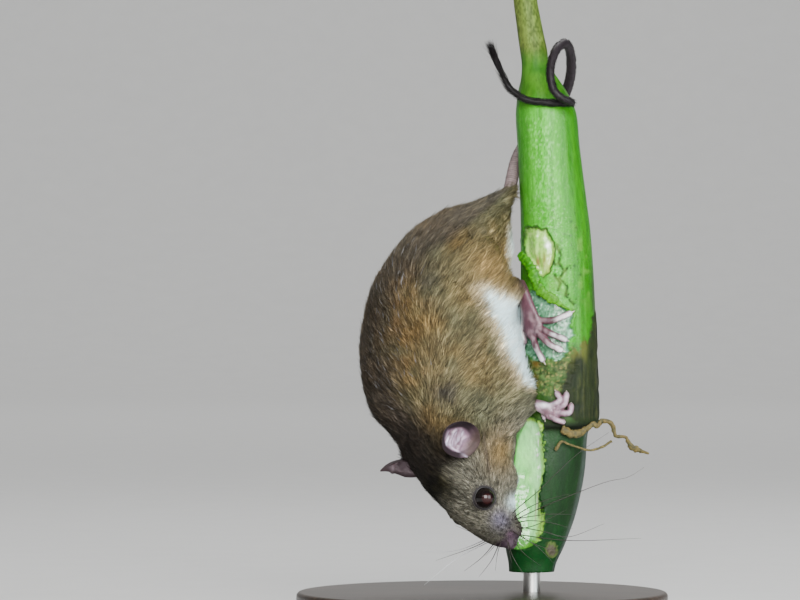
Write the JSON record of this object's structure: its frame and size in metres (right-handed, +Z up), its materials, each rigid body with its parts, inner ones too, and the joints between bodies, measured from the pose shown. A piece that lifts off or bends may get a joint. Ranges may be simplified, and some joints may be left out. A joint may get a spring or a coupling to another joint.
{
  "type": "climbing mouse on a plant stalk",
  "caption": "Life-size climbing mouse hanging head down on a cut length of green plant stalk, gnawing it, on a plain round display stand.",
  "frame": {"origin": "middle of the underside of the round base", "axes": "+Z up; +X from the mouse's back toward the stalk; +Y away from the viewer, toward the mouse's right side"},
  "size_m": [0.13, 0.13, 0.225],
  "materials": {
    "fur": "short soft fur, tan with black tips",
    "skin": "bare pink skin",
    "eye": "wet black",
    "tail": "fine dark scales",
    "tuft": "black hair",
    "stalk": "waxy green plant skin",
    "fibre": "dry plant fibre",
    "peel": "fresh peeled plant skin",
    "base": "dark stained, satin",
    "rod": "brushed"
  },
  "bodies": {
    "root": {"abdomen": "fur", "chest": "fur", "ear_left": "skin", "ear_right": "skin", "eye_left": "eye", "eye_right": "eye", "forefoot_left": "skin", "forefoot_right": "skin", "foreleg_left": "fur", "foreleg_right": "fur", "head": "fur", "hindfoot_left": "skin", "hindfoot_right": "skin", "hindleg_left": "fur", "hindleg_right": "fur", "muzzle": "fur", "neck": "fur", "rump": "fur", "stalk": "stalk", "stalk_fibre": "fibre", "stalk_peel": "peel", "stalk_thread": "fibre", "stand_base": "base", "stand_rod": "rod", "tail_1": "tail", "tail_2": "tail", "tail_3": "tail", "tail_4": "tail", "tail_5": "tail", "tail_tuft": "tuft"}
  },
  "joints": []
}
